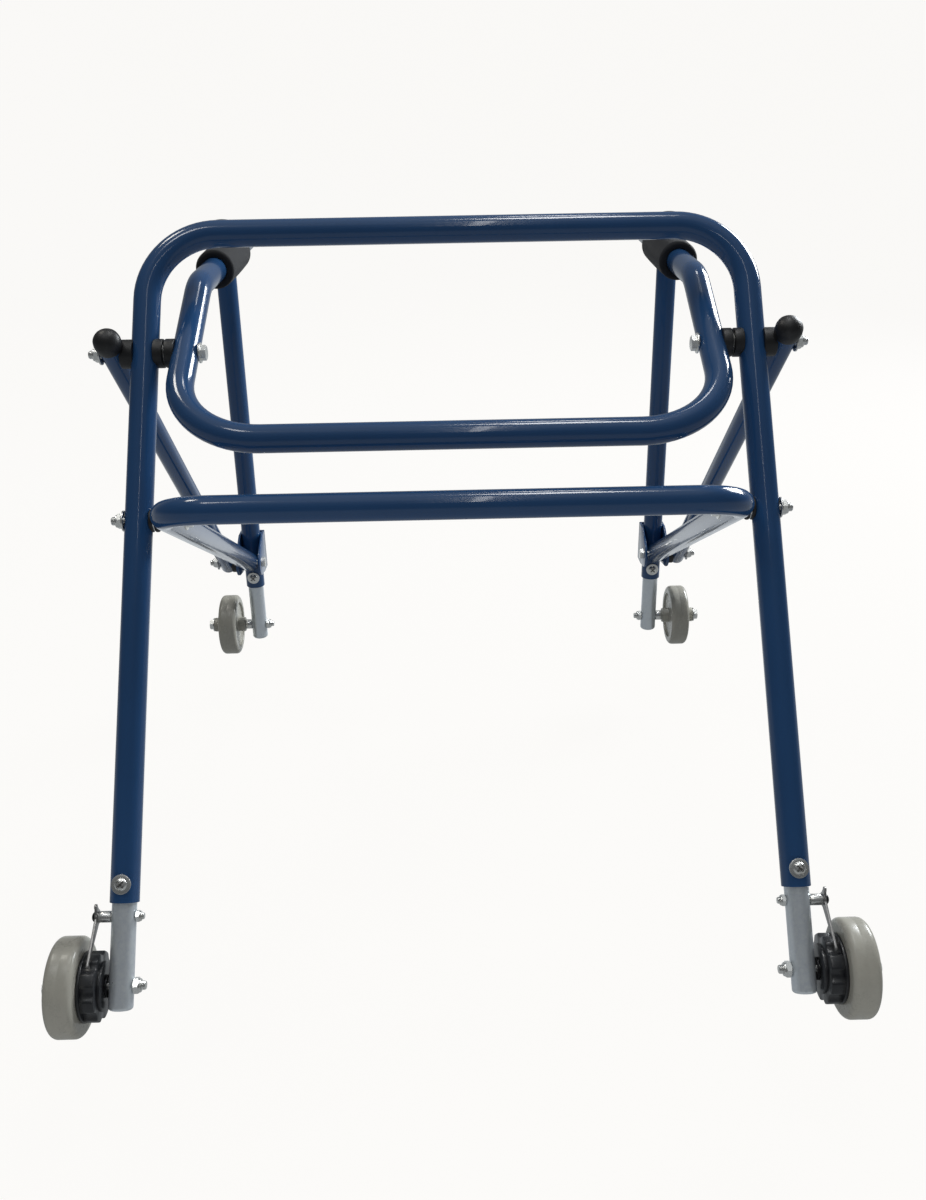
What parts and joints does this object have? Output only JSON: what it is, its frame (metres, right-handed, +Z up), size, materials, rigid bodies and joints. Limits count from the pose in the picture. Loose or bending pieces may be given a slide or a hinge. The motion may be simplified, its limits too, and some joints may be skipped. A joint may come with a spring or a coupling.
{
  "type": "posterior walker",
  "caption": "Posterior walker: bent-tube frame open at the front, hand grips, telescopic legs on wheels, and ratchets with pawls on the rear wheels.",
  "frame": {"origin": "on the floor, midway between the axles and the two sides", "axes": "+X to the walker's right, +Y forward, the way the user faces, +Z up"},
  "size_m": [0.7216, 0.829, 0.6357],
  "materials": {
    "blue_paint": "gloss",
    "galvanised": "satin",
    "zinc": "satin",
    "black_plastic": "satin",
    "ratchet_black": "satin",
    "grip_foam": "matte",
    "wheel_grey": "matte"
  },
  "bodies": {
    "frame": {"rear_frame": "blue_paint", "hip_handle_tube": "blue_paint", "lower_bar": "blue_paint", "left_post": "blue_paint", "right_post": "blue_paint", "left_clevis": "blue_paint", "right_clevis": "blue_paint", "left_brace": "blue_paint", "right_brace": "blue_paint", "left_brace_cap": "black_plastic", "right_brace_cap": "black_plastic", "left_post_cap": "black_plastic", "right_post_cap": "black_plastic", "left_handle_cap": "black_plastic", "right_handle_cap": "black_plastic", "left_grip": "grip_foam", "right_grip": "grip_foam", "upper_bolts": "zinc", "lower_bolts": "zinc", "front_bolts": "zinc", "handle_bolts": "zinc", "frame_nuts": "zinc", "frame_washers": "zinc", "upper_saddles": "black_plastic", "lower_saddles": "black_plastic", "handle_saddles": "black_plastic", "brace_saddles": "black_plastic", "clamp_screws": "zinc", "clamp_washers": "zinc"},
    "rear_left_leg": {"rear_left_extension": "galvanised", "rear_left_axle": "zinc", "rear_left_nuts": "zinc", "left_pawl_bolt": "zinc", "left_pawl_spacer": "zinc"},
    "rear_left_wheel_set": {"rear_left_wheel": "wheel_grey", "rear_left_ratchet": "ratchet_black", "rear_left_bush": "black_plastic"},
    "left_pawl_lever": {"left_pawl": "zinc"},
    "rear_right_leg": {"rear_right_extension": "galvanised", "rear_right_axle": "zinc", "rear_right_nuts": "zinc", "right_pawl_bolt": "zinc", "right_pawl_spacer": "zinc"},
    "rear_right_wheel_set": {"rear_right_wheel": "wheel_grey", "rear_right_ratchet": "ratchet_black", "rear_right_bush": "black_plastic"},
    "right_pawl_lever": {"right_pawl": "zinc"},
    "front_left_leg": {"front_left_extension": "galvanised", "front_left_axle": "zinc", "front_left_nut": "zinc", "front_left_spacer": "zinc"},
    "front_left_wheel_set": {"front_left_wheel": "wheel_grey", "front_left_bush": "black_plastic"},
    "front_right_leg": {"front_right_extension": "galvanised", "front_right_axle": "zinc", "front_right_nut": "zinc", "front_right_spacer": "zinc"},
    "front_right_wheel_set": {"front_right_wheel": "wheel_grey", "front_right_bush": "black_plastic"}
  },
  "joints": [
    {"name": "rear_left_height", "type": "slide", "parent": "frame", "child": "rear_left_leg", "axis": [-0.0162, -0.5358, -0.8442], "range_m": [0, 0.08]},
    {"name": "rear_left_roll", "type": "hinge", "parent": "rear_left_leg", "child": "rear_left_wheel_set", "pos_m": [-0.294, -0.372, 0.0425], "axis": [1, 0, 0], "continuous": true},
    {"name": "left_pawl_lift", "type": "hinge", "parent": "rear_left_leg", "child": "left_pawl_lever", "pos_m": [-0.29306, -0.34093, 0.09147], "axis": [-1, 0, 0], "range_deg": [-4, 55]},
    {"name": "rear_right_height", "type": "slide", "parent": "frame", "child": "rear_right_leg", "axis": [0.0162, -0.5358, -0.8442], "range_m": [0, 0.08]},
    {"name": "rear_right_roll", "type": "hinge", "parent": "rear_right_leg", "child": "rear_right_wheel_set", "pos_m": [0.294, -0.372, 0.0425], "axis": [1, 0, 0], "continuous": true},
    {"name": "right_pawl_lift", "type": "hinge", "parent": "rear_right_leg", "child": "right_pawl_lever", "pos_m": [0.29306, -0.34093, 0.09147], "axis": [-1, 0, 0], "range_deg": [-4, 55]},
    {"name": "front_left_height", "type": "slide", "parent": "frame", "child": "front_left_leg", "axis": [0, 0, -1], "range_m": [0, 0.08]},
    {"name": "front_left_roll", "type": "hinge", "parent": "front_left_leg", "child": "front_left_wheel_set", "pos_m": [-0.28287, 0.372, 0.0425], "axis": [1, 0, 0], "continuous": true},
    {"name": "front_right_height", "type": "slide", "parent": "frame", "child": "front_right_leg", "axis": [0, 0, -1], "range_m": [0, 0.08]},
    {"name": "front_right_roll", "type": "hinge", "parent": "front_right_leg", "child": "front_right_wheel_set", "pos_m": [0.28287, 0.372, 0.0425], "axis": [1, 0, 0], "continuous": true}
  ]
}
